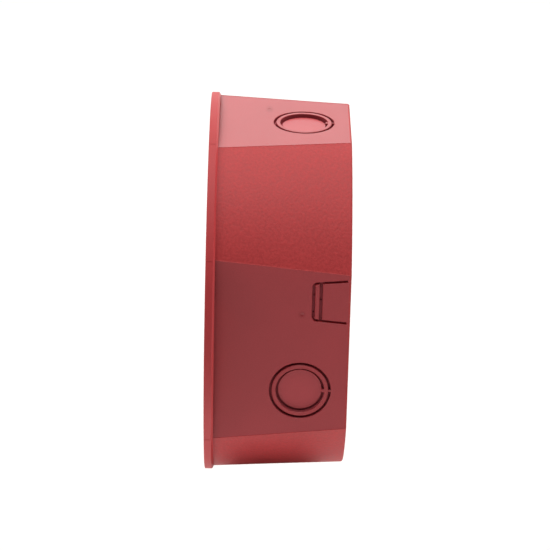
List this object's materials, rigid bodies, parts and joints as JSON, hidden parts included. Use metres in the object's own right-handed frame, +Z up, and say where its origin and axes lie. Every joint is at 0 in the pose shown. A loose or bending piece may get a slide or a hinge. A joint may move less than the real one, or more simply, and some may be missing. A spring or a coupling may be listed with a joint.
{
  "type": "fire alarm bell",
  "caption": "Wall fire alarm bell: round red moulded housing with side flats and knock-outs, recessed pressed gong and a sprung solenoid striker beneath it.",
  "frame": {"origin": "centre of the housing's flat wall face", "axes": "+Y into the wall, -Y out of the mouth, +Z up, +X to the right of a person facing the bell"},
  "size_m": [0.18, 0.0654, 0.18],
  "materials": {
    "red_moulding": "fine spark texture on the drum, smoother flats",
    "red_enamel": "gloss enamel",
    "zinc_plate": "zinc plated",
    "bright_steel": "turned bright steel",
    "brass": "turned",
    "winding": "varnished copper wire under tape",
    "nylon": "satin",
    "rubber": "matt",
    "board": "solder mask",
    "black_plastic": "satin",
    "tan_ceramic": "matt",
    "red_wire": "insulation"
  },
  "bodies": {
    "housing": {"back_box": "red_moulding", "gong": "red_enamel", "chassis_plate": "zinc_plate", "chassis_screw_1": "zinc_plate", "chassis_screw_2": "zinc_plate", "chassis_screw_3": "zinc_plate", "chassis_screw_4": "zinc_plate", "earth_washer": "zinc_plate", "gong_post": "zinc_plate", "post_nut": "zinc_plate", "gong_washer_steel": "zinc_plate", "gong_screw": "zinc_plate", "solenoid_frame": "zinc_plate", "solenoid_screw_1": "zinc_plate", "solenoid_screw_2": "zinc_plate", "board_screw_1": "zinc_plate", "board_screw_2": "zinc_plate", "return_spring": "bright_steel", "guide_tube": "brass", "earth_screw": "brass", "terminal_screw_1": "brass", "terminal_screw_2": "brass", "terminal_screw_3": "brass", "terminal_screw_4": "brass", "solenoid_coil": "winding", "solenoid_bobbin": "nylon", "board_spacer_1": "nylon", "board_spacer_2": "nylon", "gong_washer_inner": "rubber", "gong_washer_outer": "rubber", "stop_bumper": "rubber", "circuit_board": "board", "terminal_block": "black_plastic", "capacitor": "black_plastic", "drive_transistor": "black_plastic", "flyback_diode": "black_plastic", "coil_lead_black": "black_plastic", "resistor": "tan_ceramic", "coil_lead_red": "red_wire"},
    "striker": {"plunger": "bright_steel", "striker_rod": "brass", "striker_tip": "nylon", "spring_clip": "bright_steel"}
  },
  "joints": [
    {"name": "striker_slide", "type": "slide", "parent": "housing", "child": "striker", "axis": [0, 0, -1], "range_m": [0, 0.005], "stiffness_N_per_m": 90, "springref_m": -0.006, "deforming": ["return_spring"]}
  ]
}
